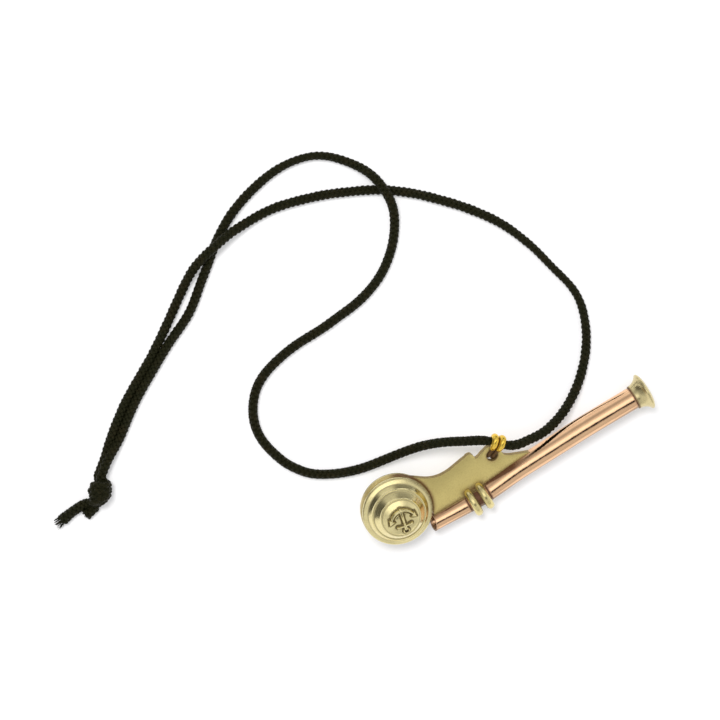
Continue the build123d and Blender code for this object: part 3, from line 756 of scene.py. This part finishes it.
# ------------------------------------------------------------ braided cord
# centreline points as fractions of each cord solid's box
LEFT_PATH = {
    "cord_left_near": [
        (1.063, 0.8343, 0.911), (1.01, 0.889, 0.911), (0.9571, 0.8891, 0.8728), (0.9046, 0.8711, 0.8061),
        (0.8518, 0.8607, 0.7357), (0.7997, 0.8376, 0.656), (0.7485, 0.7996, 0.5701), (0.6982, 0.7443, 0.4815),
        (0.649, 0.6688, 0.3937), (0.6005, 0.5807, 0.3101), (0.5519, 0.4871, 0.2343), (0.503, 0.3905, 0.1706),
        (0.4532, 0.2947, 0.1235), (0.4018, 0.2121, 0.0977), (0.3487, 0.1509, 0.0915),
        (0.2948, 0.1059, 0.0913), (0.2403, 0.0854, 0.0913), (0.1856, 0.0855, 0.0913),
        (0.1321, 0.1269, 0.0913), (0.0811, 0.2169, 0.0913), (0.0326, 0.3332, 0.0913),
    ],
    "cord_left_mid": [
        (0.42, -0.0012, 0.2388), (0.3807, 0.0237, 0.2388), (0.3464, 0.0517, 0.2388), (0.3205, 0.0834, 0.2388),
        (0.3051, 0.1182, 0.2388), (0.3004, 0.1544, 0.2388), (0.3051, 0.1907, 0.2388),
        (0.3192, 0.2257, 0.2388), (0.3437, 0.258, 0.2388), (0.3764, 0.2869, 0.2388), (0.4139, 0.313, 0.2388),
        (0.4537, 0.3376, 0.2388), (0.4958, 0.3602, 0.2388), (0.5404, 0.3807, 0.2388),
        (0.5862, 0.3998, 0.2388), (0.6317, 0.4192, 0.2388), (0.6756, 0.4403, 0.2388),
        (0.7188, 0.4621, 0.2388), (0.7625, 0.4834, 0.2388), (0.8042, 0.5064, 0.2388), (0.843, 0.5316, 0.2388),
        (0.8785, 0.5591, 0.2388), (0.9098, 0.5887, 0.2388), (0.9358, 0.6206, 0.2388),
        (0.9562, 0.6544, 0.2388), (0.9719, 0.6893, 0.2388), (0.9817, 0.7252, 0.2412), (0.9855, 0.7614, 0.29),
        (0.9832, 0.7969, 0.4438), (0.9709, 0.8309, 0.6273), (0.9479, 0.8629, 0.7503),
        (0.9176, 0.8928, 0.7586), (0.8828, 0.9197, 0.6486), (0.8423, 0.9416, 0.4685), (0.7971, 0.959, 0.3047),
        (0.7479, 0.9729, 0.2429), (0.6968, 0.984, 0.2388), (0.6441, 0.9904, 0.2388), (0.5907, 0.9902, 0.2388),
        (0.5384, 0.9826, 0.2388), (0.4877, 0.9705, 0.2388), (0.4394, 0.9546, 0.2388),
        (0.3941, 0.9351, 0.2388), (0.3518, 0.9126, 0.2388), (0.3119, 0.8881, 0.2388),
        (0.2736, 0.8625, 0.2388), (0.2379, 0.8351, 0.2388), (0.2047, 0.8064, 0.2388), (0.1749, 0.776, 0.2388),
        (0.1492, 0.744, 0.2388), (0.1252, 0.7112, 0.2388), (0.1054, 0.6773, 0.2388), (0.0878, 0.6427, 0.2388),
        (0.0692, 0.6084, 0.2388), (0.0499, 0.5743, 0.2388), (0.0319, 0.5398, 0.2388),
        (0.0138, 0.5054, 0.2388),
    ],
    "cord_left_twin": [
        (0.9516, 0.9694, 0.5), (0.8897, 0.914, 0.5), (0.8206, 0.8609, 0.5), (0.7525, 0.8075, 0.5),
        (0.688, 0.7527, 0.5), (0.6268, 0.6969, 0.5), (0.5669, 0.6406, 0.5), (0.5068, 0.5844, 0.5),
        (0.4471, 0.528, 0.5), (0.3905, 0.4708, 0.5), (0.3387, 0.4122, 0.5), (0.2912, 0.3525, 0.5),
        (0.2459, 0.2923, 0.5), (0.2005, 0.2322, 0.5), (0.1539, 0.1723, 0.5), (0.1073, 0.1124, 0.5),
        (0.0639, 0.0546, 0.5), (0.0404, 0.0219, 0.5),
    ],
}
RIGHT_PATH = {
    "cord_right_near": [
        (-0.1537, 0.0688, 0.9114), (-0.0228, 0.0459, 0.9114), (0.0994, 0.0546, 0.8636),
        (0.2164, 0.0921, 0.773), (0.333, 0.1306, 0.6828), (0.4403, 0.1804, 0.5847), (0.5358, 0.2426, 0.4824),
        (0.6226, 0.3128, 0.381), (0.7006, 0.3903, 0.2859), (0.768, 0.4758, 0.2028), (0.8274, 0.5673, 0.1388),
        (0.8759, 0.6646, 0.1016), (0.9127, 0.7663, 0.0918), (0.94, 0.8701, 0.0913), (0.956, 0.9753, 0.0913),
    ],
    "cord_right_mid": [
        (0.9909, 0.0244, 0.2407), (0.9887, 0.0964, 0.2407), (0.9842, 0.1676, 0.2407), (0.9768, 0.237, 0.2407),
        (0.9653, 0.3019, 0.2407), (0.9496, 0.36, 0.2407), (0.931, 0.4122, 0.2407), (0.9118, 0.4627, 0.2407),
        (0.8932, 0.5147, 0.2407), (0.8746, 0.5668, 0.2407), (0.855, 0.6161, 0.2407), (0.8343, 0.662, 0.2407),
        (0.813, 0.7059, 0.2407), (0.7907, 0.7461, 0.2407), (0.7673, 0.7814, 0.2407), (0.743, 0.8119, 0.2407),
        (0.7182, 0.8397, 0.2407), (0.6931, 0.8652, 0.2407), (0.6676, 0.8873, 0.2407),
        (0.6418, 0.9071, 0.2407), (0.6159, 0.9261, 0.2407), (0.5899, 0.9433, 0.2407),
        (0.5635, 0.9566, 0.2407), (0.537, 0.9665, 0.2407), (0.5103, 0.9737, 0.2407), (0.4835, 0.9762, 0.2407),
        (0.4567, 0.9739, 0.2407), (0.43, 0.9678, 0.2407), (0.4033, 0.9602, 0.2407), (0.3767, 0.9521, 0.2407),
        (0.3502, 0.9405, 0.2407), (0.324, 0.9254, 0.2407), (0.2979, 0.9088, 0.2407), (0.272, 0.89, 0.2407),
        (0.2464, 0.8683, 0.2407), (0.2216, 0.8413, 0.2407), (0.1976, 0.8088, 0.2457),
        (0.1748, 0.7718, 0.3011), (0.1528, 0.7328, 0.434), (0.1313, 0.6924, 0.5903), (0.1112, 0.6468, 0.7174),
        (0.0917, 0.5976, 0.7796), (0.072, 0.5489, 0.7593), (0.0532, 0.4985, 0.6624), (0.037, 0.4432, 0.5158),
        (0.0235, 0.3827, 0.3632), (0.0118, 0.3186, 0.2637),
    ],
    "cord_right_twin": [
        (0.9766, 1.001, 0.5013), (0.9244, 0.9432, 0.4999), (0.8721, 0.886, 0.4999), (0.8191, 0.8288, 0.4999),
        (0.7647, 0.772, 0.4999), (0.708, 0.7157, 0.4999), (0.6481, 0.6603, 0.4999), (0.5849, 0.6057, 0.4999),
        (0.5197, 0.5517, 0.4999), (0.4552, 0.4974, 0.4999), (0.3944, 0.4422, 0.4999),
        (0.3392, 0.3856, 0.4999), (0.2891, 0.3279, 0.4999), (0.2422, 0.2695, 0.4999), (0.1958, 0.211, 0.4999),
        (0.1486, 0.1526, 0.4999), (0.1014, 0.0943, 0.4999), (0.0591, 0.0414, 0.4999),
        (0.0432, 0.0212, 0.4999),
    ],
}


CORD_LIFT = 0.15 * MM      # the braid is a little thicker than its CAD bar, so it lies that much higher
LEAD = 7.4 * MM            # length of one full turn of a strand
STEP = 0.28 * MM


def from_box(table):
    P, cuts = [], []
    for node, pts in table.items():
        lo, hi = (V3(v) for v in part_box(node))
        cuts.append(len(P))
        P += [lo + V3(f) * (hi - lo) for f in pts]
    return V3(P), cuts


def braid_arrays(P, s, r0=1.20, amp=0.24, half_w=0.64, half_t=0.42, phase=0.0, grow=None, up=(0, 0, 1), seed=0):
    """Centres and rings of eight plaited strands round the path P; four turn each way, over one and under one."""
    T, N, B = frames(P, up)
    sides = 7
    a = np.linspace(0, 2 * math.pi, sides, endpoint=False)
    out = []
    k2 = 2 * math.pi / LEAD
    g = np.ones(len(P)) if grow is None else V3(grow)
    wob = np.array([noise.noise(Vector((float(v) * 160.0, seed * 7.3, 0.0))) for v in s[::4]])
    wob = np.interp(s, s[::4], wob)
    for k in range(8):
        sgn = 1 if k % 2 == 0 else -1
        th = sgn * k2 * s + (k // 2) * math.pi / 2 + phase
        rr = (r0 + sgn * amp * np.cos(4 * k2 * s) + 0.035 * np.sin(s * 900.0 + k * 1.7) + 0.03 * wob) * MM * g
        radial = np.cos(th)[:, None] * N + np.sin(th)[:, None] * B
        C = P + radial * rr[:, None]
        D = np.gradient(C, axis=0)
        D /= np.linalg.norm(D, axis=1)[:, None]
        W = np.cross(D, radial)
        W /= np.linalg.norm(W, axis=1)[:, None]
        hw = half_w * (1 + 0.07 * np.sin(s * 1300 + k * 2.1))
        R = C[:, None] + (np.cos(a)[None, :, None] * W[:, None] * hw[:, None, None] + np.sin(a)[None, :, None] * radial[:, None] * half_t) * MM
        out.append(R)
    U = np.tile(a / (2 * math.pi), (len(P), 1))
    Vv = np.tile((s / (1.7 * MM))[:, None], (1, sides))
    core = P[:, None] + (np.cos(np.linspace(0, 2 * math.pi, 10, endpoint=False))[None, :, None] * N[:, None]
                         + np.sin(np.linspace(0, 2 * math.pi, 10, endpoint=False))[None, :, None] * B[:, None]) * (1.02 * MM * g)[:, None, None]
    return out, U, Vv, core


def braid_piece(name, arrays, lo, hi, ends=(False, False)):
    """One stretch of a braided cord, from sample lo to hi, as one mesh with its dark core."""
    strands, U, Vv, core = arrays
    verts, faces, uvs, count = [], [], [], 0
    core_start = None
    n = hi - lo + 1
    for R in strands:
        m = R.shape[1]
        verts.append(R[lo:hi + 1].reshape(-1, 3))
        uvs.append(np.stack([U[lo:hi + 1].ravel(), Vv[lo:hi + 1].ravel()], 1))
        faces.append(grid_faces(n, m, offset=count, flip=True))
        for e, flag in ((0, ends[0]), (n - 1, ends[1])):
            if flag:
                c = R[lo + e].mean(0)
                verts.append(c[None])
                uvs.append(np.array([[0.5, 0.0]]))
                tip = count + n * m + (1 if (e and ends[0]) else 0)
                ring = count + e * m + np.arange(m)
                t = np.stack([ring, np.roll(ring, -1), np.full(m, tip)], 1)
                faces.append(t if e == 0 else t[:, ::-1])
        count = sum(len(v) for v in verts)
    q = sum(len(f) for f in faces)
    sub = core[lo:hi + 1:3]
    if (hi - lo) % 3:
        sub = np.concatenate([sub, core[hi:hi + 1]])
    verts.append(sub.reshape(-1, 3))
    uvs.append(np.zeros((len(sub) * 10, 2)))
    faces.append(grid_faces(len(sub), 10, offset=count, flip=True))
    total = [len(f) for f in faces]
    ob = make(name, np.vstack(verts), faces, uv=np.vstack(uvs))
    ob.data.materials.append(MAT["cord"])
    ob.data.materials.append(MAT["core"])
    idx = np.zeros(len(ob.data.polygons), np.int32)
    if len(idx) == sum(total):
        idx[sum(total[:-1]):] = 1
        ob.data.polygons.foreach_set("material_index", idx)
    return ob


def along(P):
    return np.concatenate([[0], np.cumsum(np.linalg.norm(np.diff(P, axis=0), axis=1))])


def axis_side(j):
    """Joint place, its axis flat on the table, and the level direction that a positive turn lifts."""
    p, a = V3(JOINTS[j]["pos_m"]), unit(JOINTS[j]["axis"])
    side = unit(np.cross([0, 0, 1], a))
    return p, a, side


L_RAW, L_CUTS = from_box(LEFT_PATH)
R_RAW, R_CUTS = from_box(RIGHT_PATH)
L_RAW[0] = R_RAW[0] = BIGHT
# the two legs are one cord through the ring: make the path right to left, so the braid runs on without a break
both = np.vstack([R_RAW[::-1], L_RAW[1:]])
dense = catmull(both, STEP)
dense = smooth_path(dense, 20)
dense[:, 2] += CORD_LIFT
S = along(dense)
for tip_i, other, up_mm, in_mm in ((len(dense) - 1, 0, 1.75, 0.80), (0, len(dense) - 1, 0.0, 0.80)):
    gap = np.abs(S - S[tip_i])
    w = np.clip(1 - (gap - 3.0 * MM) / (13.0 * MM), 0, 1)
    w = w * w * (3 - 2 * w)
    toward = unit((dense[other] - dense[tip_i]) * [1, 1, 0])
    dense = dense + w[:, None] * (toward * in_mm + np.array([0, 0, up_mm])) * MM
mid_i = int(np.argmin(np.linalg.norm(dense - (BIGHT + [0, 0, CORD_LIFT]), axis=1)))
S = along(dense)


def nearest(P):
    return int(np.argmin(np.linalg.norm(dense - (V3(P) + [0, 0, CORD_LIFT]), axis=1)))


def place(table, node, f):
    """Sample number at share f of one CAD stretch."""
    lo, hi = (V3(v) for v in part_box(node))
    pts = table[node]
    return nearest(lo + V3(pts[int(f * (len(pts) - 1))]) * (hi - lo))


pinch = 1.0 - 0.24 * np.exp(-((S - S[mid_i]) / (3.2 * MM)) ** 2)   # squeezed in the ring
# the braid is pulled tighter, and so thinner, on the right-hand bend and at the top of the outer arch
slim = (1.0 - 0.26 * np.exp(-(((dense[:, 0] - 0.074) / 0.022) ** 2 + ((dense[:, 1] - 0.030) / 0.026) ** 2))
        - 0.22 * np.exp(-(((dense[:, 0] + 0.020) / 0.020) ** 2 + ((dense[:, 1] - 0.069) / 0.008) ** 2)))
arr = braid_arrays(dense, S, seed=1, grow=pinch * slim)
cut = {
    "r3": place(RIGHT_PATH, "cord_right_twin", 0.5), "r2": place(RIGHT_PATH, "cord_right_mid", 0.5), "r1": place(RIGHT_PATH, "cord_right_near", 0.5),
    "l1": place(LEFT_PATH, "cord_left_near", 0.45), "l2": place(LEFT_PATH, "cord_left_mid", 0.5), "l3": place(LEFT_PATH, "cord_left_twin", 0.5),
}
lift_p, lift_a, lift_s = axis_side("cord_lift")
f1_p, f1_a, f1_s = axis_side("cord_fold")
f2_p, f2_a, f2_s = axis_side("tail_fold")
end_i = len(dense) - 1

p = braid_piece("braid_left_ring", arr, mid_i, cut["l1"])
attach(p, "cord_near")
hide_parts("cord_bight", "cord_left_near")
p = braid_piece("braid_right_ring", arr, cut["r1"], mid_i)
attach(p, "cord_near")
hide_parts("cord_bight", "cord_right_near")
p = braid_piece("braid_left_loop", arr, cut["l1"], cut["l2"])
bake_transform(p)
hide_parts("cord_left_near", "cord_left_mid")
p = braid_piece("braid_right_loop", arr, cut["r2"], cut["r1"])
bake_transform(p)
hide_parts("cord_right_near", "cord_right_mid")
p = braid_piece("braid_left_fold", arr, cut["l2"], cut["l3"])
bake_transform(p)
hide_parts("cord_left_mid", "cord_left_twin")
p = braid_piece("braid_right_fold", arr, cut["r3"], cut["r2"])
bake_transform(p)
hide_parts("cord_right_mid", "cord_right_twin")

# ------------------------------------------------------------ the doubled end, the knot and the tails
klo, khi = (V3(v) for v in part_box("cord_knot"))
KC = (klo + khi) / 2
tlo, thi = (V3(v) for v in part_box("cord_tail_long"))
slo, shi = (V3(v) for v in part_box("cord_tail_short"))
tail_start = tlo + V3((0.885, 0.847, 0.5)) * (thi - tlo)
tail_end = tlo + V3((0.115, 0.153, 0.5)) * (thi - tlo)
short_start = slo + V3((0.763, 0.736, 0.5)) * (shi - slo)
short_end = slo + V3((0.237, 0.264, 0.5)) * (shi - slo)
KA = unit(np.array([-0.30113, -0.95358, 0.0]))
KL = np.cross([0, 0, 1.0], KA)
UP = np.array([0.0, 0.0, 1.0])


def kp(a, l, z):
    """A point in the knot: along its axis, to the side and above its centre, in mm."""
    return KC + (KA * a + KL * l + UP * z) * MM


def loose_braid(name, pts, ends=(True, True), phase=0.0, grow=None, step=STEP, seed=3, smooth=6, **kw):
    P = smooth_path(catmull(pts, step), smooth)
    s = along(P)
    g = None if grow is None else np.interp(s / s[-1], [q[0] for q in grow], [q[1] for q in grow])
    A = braid_arrays(P, s, phase=phase, grow=g, seed=seed, **kw)
    ob = braid_piece(name, A, 0, len(P) - 1, ends)
    return ob, P, A


for tag, i, lat in (("left", end_i, 1.15), ("right", 0, -1.15)):
    lo_i, hi_i = (cut["l3"], end_i) if tag == "left" else (0, cut["r3"])
    p = braid_piece("braid_%s_end" % tag, arr, lo_i, hi_i)
    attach(p, "cord_end")
    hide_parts("cord_%s_twin" % tag)
    tip = dense[i]
    side = 1.0 if (tip - KC) @ KL > 0 else -1.0
    inward = unit(dense[end_i] - dense[end_i - 10]) if tag == "left" else unit(dense[0] - dense[10])
    pts = [tip - inward * 0.0, tip + inward * 1.2 * MM, kp(-4.0, side * 1.0, -1.3), kp(-2.4, side * 0.9, -0.4), kp(0.0, side * 0.8, 0.2), kp(2.0, side * 0.6, -0.4)]
    ob, _, _ = loose_braid("knot_entry_" + tag, pts, grow=[(0, 1.0), (1, 0.85)], smooth=3, seed=5)
    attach(ob, "cord_end")

WR = 2.62
for c in range(2):
    th = np.linspace(-0.75 * math.pi, 3.1 * math.pi, 60)
    a = -2.55 + c * 1.95 + (th - math.pi / 2) / (2 * math.pi) * 3.6
    bulge = 1.0 - 0.028 * (a + 0.2) ** 2
    fadein = np.clip((th - th[0]) / 1.1, 0, 1) * np.clip((th[-1] - th) / 1.1, 0, 1)
    rad = WR * bulge * (0.35 + 0.65 * fadein)
    jit = np.array([noise.noise(Vector((float(t) * 0.9, c * 5.0, 1.0))) for t in th])
    pts = [kp(aa + 0.35 * j, rr * math.cos(t) * 1.08 + 0.2 * j, rr * math.sin(t) * 0.92 - 0.02) for aa, rr, t, j in zip(a, rad, th, jit)]
    ob, _, _ = loose_braid("knot_wrap_%d" % c, pts, grow=[(0, 0.8), (0.15, 0.93), (0.85, 0.93), (1, 0.8)], phase=c * 0.7, seed=11 + c, r0=1.10, smooth=4)
    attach(ob, "cord_end")
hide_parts("cord_knot")

# a crossing turn over the lower front of the knot, where the end tucks through
th = np.linspace(0, 1, 12)
pts = [kp(-0.6 + 4.9 * t, 3.0 - 4.6 * t + 0.9 * math.sin(math.pi * t), 0.2 + 2.2 * math.sin(math.pi * (0.15 + 0.8 * t))) for t in th]
ob, _, _ = loose_braid("knot_tuck", pts, grow=[(0, 0.8), (0.5, 0.92), (1, 0.85)], seed=21, r0=1.08)
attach(ob, "cord_end")

tail_mid = [tlo + V3(f) * (thi - tlo) for f in ((0.699, 0.739, 0.5), (0.502, 0.569, 0.5), (0.315, 0.385, 0.5))]
lift = np.array([0, 0, CORD_LIFT])
pts = [kp(1.0, 0.6, -0.6), kp(3.4, 1.0, -1.2), tail_start + lift] + [q + lift for q in tail_mid] + [tail_end + lift]
ob, P, A = loose_braid("tail_long", pts, grow=[(0, 1.0), (0.45, 1.06), (0.75, 1.12), (0.9, 1.22), (1.0, 1.34)], seed=31)
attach(ob, "cord_end")
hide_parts("cord_tail_long")
tips = [(P[-1], unit(P[-1] - P[-6]), "long")]
pts = [kp(1.0, -0.6, -0.8), kp(3.6, -0.4, -1.2), short_start + lift, (short_start + short_end) / 2 + lift, short_end + lift]
ob, P2, _ = loose_braid("tail_short", pts, grow=[(0, 1.0), (0.6, 1.05), (1.0, 1.25)], seed=41)
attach(ob, "cord_end")
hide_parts("cord_tail_short")
tips.append((P2[-1], unit(P2[-1] - P2[-6]), "short"))

# frayed ends: short yarn stubs and loose filaments
for tip, d, tag in tips:
    side = np.cross(UP, d)
    rng = np.random.default_rng(7 if tag == "long" else 8)
    V, F, count = [], [], 0
    n_yarn = 26 if tag == "long" else 12
    n_hair = 40 if tag == "long" else 8
    for q in range(n_yarn + n_hair):
        yarn = q < n_yarn
        ang = rng.uniform(0, 2 * math.pi)
        rad0 = math.sqrt(rng.uniform(0, 1)) * 1.35 * MM
        length = (rng.uniform(1.0, 3.2) if yarn else rng.uniform(1.2, 3.6)) * MM * (1.0 if tag == "long" else 0.35)
        start = tip - d * 1.1 * MM + (side * math.cos(ang) + UP * math.sin(ang)) * rad0
        out = (side * math.cos(ang) + UP * math.sin(ang) * 0.5)
        k = np.linspace(0, 1, 9)
        bend = rng.uniform(0.1, 0.75) if yarn else rng.uniform(0.2, 1.3)
        curl = rng.uniform(-1, 1) * 0.6 * MM
        P = start + np.outer(k, d) * (length + 1.1 * MM) + np.outer(k**2, out) * bend * 1.1 * MM + np.outer(np.sin(k * 3), side) * curl * 0.5
        P[:, 2] = np.maximum(P[:, 2], 0.12 * MM)
        r = (rng.uniform(0.16, 0.27) if yarn else 0.045) * MM * (1 - 0.55 * k**2)
        T, N, B = frames(P)
        a = np.linspace(0, 2 * math.pi, 6, endpoint=False)
        ring = P[:, None] + (np.cos(a)[None, :, None] * N[:, None] + np.sin(a)[None, :, None] * B[:, None]) * r[:, None, None]
        V.append(ring.reshape(-1, 3))
        F.append(grid_faces(9, 6, offset=count, flip=True))
        V.append(P[[0, -1]])
        for e, row in ((0, 0), (1, 8)):
            idx = count + row * 6 + np.arange(6)
            t = np.stack([idx, np.roll(idx, -1), np.full(6, count + 54 + e)], 1)
            F.append(t if e == 0 else t[:, ::-1])
        count += 56
    uv = np.random.default_rng(3).uniform(0, 1, (count, 2))
    ob = make("fray_" + tag, np.vstack(V), F, uv=uv)
    paint(ob, "cord")
    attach(ob, "cord_end")

# ------------------------------------------------------------ stage, light, camera
bpy.context.view_layer.update()
m, nt, bs = new_mat("floor_white")
bs.inputs["Base Color"].default_value = (0.62, 0.62, 0.63, 1)
bs.inputs["Emission Color"].default_value = (1.0, 1.0, 1.0, 1)
bs.inputs["Emission Strength"].default_value = 0.31
bs.inputs["Roughness"].default_value = 0.85
bs.inputs["Specular IOR Level"].default_value = 0.1
F = np.array([[0, 1, 2, 3]])
floor = make("floor", [(-4, -4, -0.00012), (4, -4, -0.00012), (4, 4, -0.00012), (-4, 4, -0.00012)], [F], smooth=False)
floor.data.materials.append(m)

world = bpy.context.scene.world or bpy.data.worlds.new("studio")
bpy.context.scene.world = world
world.use_nodes = True
wt = world.node_tree
wt.nodes.clear()
wout = wt.nodes.new("ShaderNodeOutputWorld")
bg = wt.nodes.new("ShaderNodeBackground")
wt.links.new(bg.outputs[0], wout.inputs[0])
wdir = wt.nodes.new("ShaderNodeTexCoord").outputs["Generated"]
GUN_FLAT = unit([CX[0], CX[1], 0])
ACROSS = np.array([-GUN_FLAT[1], GUN_FLAT[0], 0])


def wdot(v):
    n = wt.nodes.new("ShaderNodeVectorMath")
    n.operation = "DOT_PRODUCT"
    n.inputs[1].default_value = tuple(v)
    wt.links.new(wdir, n.inputs[0])
    return n.outputs["Value"]


sa, sl, sz = wdot(ACROSS), wdot(GUN_FLAT), wdot([0, 0, 1])
ang = math_node(wt, "ARCTAN2", sa, math_node(wt, "MAXIMUM", sz, 0.001))
fac = math_node(wt, "ADD", math_node(wt, "DIVIDE", ang, math.pi), 0.5)   # 0 right horizon, 0.5 zenith, 1 left horizon


def deg(v):
    return v / 180.0 + 0.5


strip = ramp(wt, fac, [(0.0, 0.85), (deg(-50), 1.0), (deg(-38), 1.0), (deg(-33), 0.02), (deg(-24), 0.02), (deg(-19), 0.8), (deg(-13), 1.9), (deg(5), 2.2),
                       (deg(13), 1.6), (deg(25), 1.05), (deg(43), 0.60), (deg(54), 0.75), (deg(68), 1.30), (1.0, 1.15)])
plain = ramp(wt, fac, [(0.0, 1.05), (deg(-50), 1.25), (deg(-15), 1.05), (deg(5), 0.90), (deg(30), 1.35), (deg(45), 1.0), (deg(60), 0.34), (1.0, 0.26)])
mask = math_node(wt, "SUBTRACT", 1.0, math_node(wt, "DIVIDE", math_node(wt, "SUBTRACT", math_node(wt, "ABSOLUTE", sl), 0.30, clamp=True), 0.25, clamp=True), clamp=True)
wcol = mix(wt, mask, plain, strip)
# a dim patch of studio low on the far side of the buoy
dim = math_node(wt, "DIVIDE", math_node(wt, "SUBTRACT", wdot([-0.974, -0.085, 0.208]), 0.68), 0.24, clamp=True)
wcol = mix(wt, math_node(wt, "MULTIPLY", dim, 0.60), wcol, (0.0, 0.0, 0.0))
wt.links.new(wcol, bg.inputs["Color"])
bg.inputs["Strength"].default_value = 0.72

ld = bpy.data.lights.new("softbox", "AREA")
ld.shape, ld.size, ld.energy = "DISK", 0.40, 8.0
ld.color = (1.0, 0.985, 0.97)
lo_ = bpy.data.objects.new("softbox", ld)
bpy.context.scene.collection.objects.link(lo_)
lo_.location = (-0.20, 0.27, 1.05)
lo_.visible_glossy = False
lo_.rotation_euler = (Vector((0.02, -0.02, 0)) - lo_.location).to_track_quat("-Z", "Y").to_euler()

cam_d = bpy.data.cameras.new("camera")
cam = bpy.data.objects.new("camera", cam_d)
bpy.context.scene.collection.objects.link(cam)
cam.location = (1.669 * MM, -4.604 * MM, 600 * MM)
cam.rotation_euler = (0, 0, 0)
cam_d.sensor_width = 36.0
cam_d.lens = 82.87
cam_d.clip_start = 0.01
bpy.context.scene.camera = cam
bpy.context.scene.view_settings.view_transform = "Standard"
